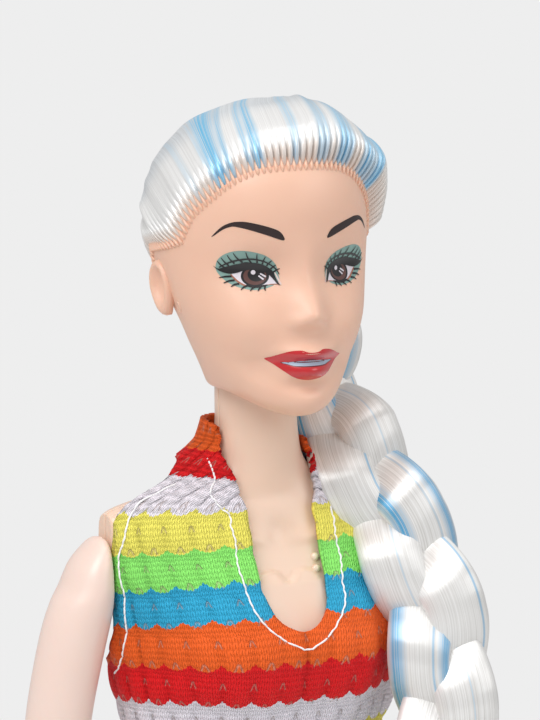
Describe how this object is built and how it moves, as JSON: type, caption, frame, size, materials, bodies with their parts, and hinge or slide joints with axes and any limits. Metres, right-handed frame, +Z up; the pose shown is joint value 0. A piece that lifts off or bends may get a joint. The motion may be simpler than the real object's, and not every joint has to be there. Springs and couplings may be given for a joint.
{
  "type": "fashion doll",
  "caption": "Fashion doll with a silver white side braid streaked light blue, a painted face and a striped knit halter playsuit.",
  "frame": {"origin": "middle of the bounding box, on the level of the soles", "axes": "+Z up, the face looks along -Y, the doll's left side is at +X"},
  "size_m": [0.069, 0.039, 0.2926],
  "materials": {
    "face_vinyl": "soft satin vinyl",
    "torso_plastic": "smooth moulded plastic",
    "limb_plastic": "smooth moulded plastic",
    "white_plastic": "smooth",
    "white_vinyl": "soft vinyl",
    "hair_fibre": "glossy fibre, silver white with light blue streaks",
    "blue_band": "matt elastic",
    "striped_knit": "open knit in colour stripes",
    "closure_tape": "hook and loop tape"
  },
  "bodies": {
    "torso": {"torso_front": "torso_plastic", "torso_back": "torso_plastic", "neck_post": "white_plastic", "halter_bodice": "striped_knit", "back_closure": "closure_tape", "braid_band": "blue_band", "braid_tail": "hair_fibre", "shorts_leg_left": "striped_knit", "shorts_leg_right": "striped_knit"},
    "head": {"head_shell": "face_vinyl", "hair_cap": "hair_fibre", "braid": "hair_fibre"},
    "upper_arm_left": {"upper_arm_left": "limb_plastic", "elbow_pin_left": "torso_plastic"},
    "forearm_left": {"forearm_left": "limb_plastic"},
    "thigh_left": {"thigh_left": "limb_plastic", "knee_pin_left": "torso_plastic"},
    "lower_leg_left": {"lower_leg_left": "limb_plastic", "boot_upper_left": "white_vinyl", "boot_sole_left": "white_plastic"},
    "upper_arm_right": {"upper_arm_right": "limb_plastic", "elbow_pin_right": "torso_plastic"},
    "forearm_right": {"forearm_right": "limb_plastic"},
    "thigh_right": {"thigh_right": "limb_plastic", "knee_pin_right": "torso_plastic"},
    "lower_leg_right": {"lower_leg_right": "limb_plastic", "boot_upper_right": "white_vinyl", "boot_sole_right": "white_plastic"}
  },
  "joints": [
    {"name": "head_turn", "type": "hinge", "parent": "torso", "child": "head", "pos_m": [0, 0.00219, 0.255], "axis": [0, 0, 1], "range_deg": [-70, 70], "deforming": ["braid"]},
    {"name": "shoulder_left", "type": "hinge", "parent": "torso", "child": "upper_arm_left", "pos_m": [0.02471, 0.00219, 0.2316], "axis": [-1, 0, 0], "range_deg": [-60, 170]},
    {"name": "elbow_left", "type": "hinge", "parent": "upper_arm_left", "child": "forearm_left", "pos_m": [0.03031, 0.00219, 0.198], "axis": [-1, 0, 0], "range_deg": [0, 80]},
    {"name": "hip_left", "type": "hinge", "parent": "torso", "child": "thigh_left", "pos_m": [0.01196, 0.00219, 0.177], "axis": [-1, 0, 0], "range_deg": [-20, 90], "deforming": ["shorts_leg_left"]},
    {"name": "knee_left", "type": "hinge", "parent": "thigh_left", "child": "lower_leg_left", "pos_m": [0.0093, 0.00219, 0.091], "axis": [1, 0, 0], "range_deg": [0, 80]},
    {"name": "shoulder_right", "type": "hinge", "parent": "torso", "child": "upper_arm_right", "pos_m": [-0.02471, 0.00219, 0.2316], "axis": [-1, 0, 0], "range_deg": [-60, 170]},
    {"name": "elbow_right", "type": "hinge", "parent": "upper_arm_right", "child": "forearm_right", "pos_m": [-0.03031, 0.00219, 0.198], "axis": [-1, 0, 0], "range_deg": [0, 80]},
    {"name": "hip_right", "type": "hinge", "parent": "torso", "child": "thigh_right", "pos_m": [-0.01196, 0.00219, 0.177], "axis": [-1, 0, 0], "range_deg": [-20, 90], "deforming": ["shorts_leg_right"]},
    {"name": "knee_right", "type": "hinge", "parent": "thigh_right", "child": "lower_leg_right", "pos_m": [-0.0093, 0.00219, 0.091], "axis": [1, 0, 0], "range_deg": [0, 80]}
  ]
}
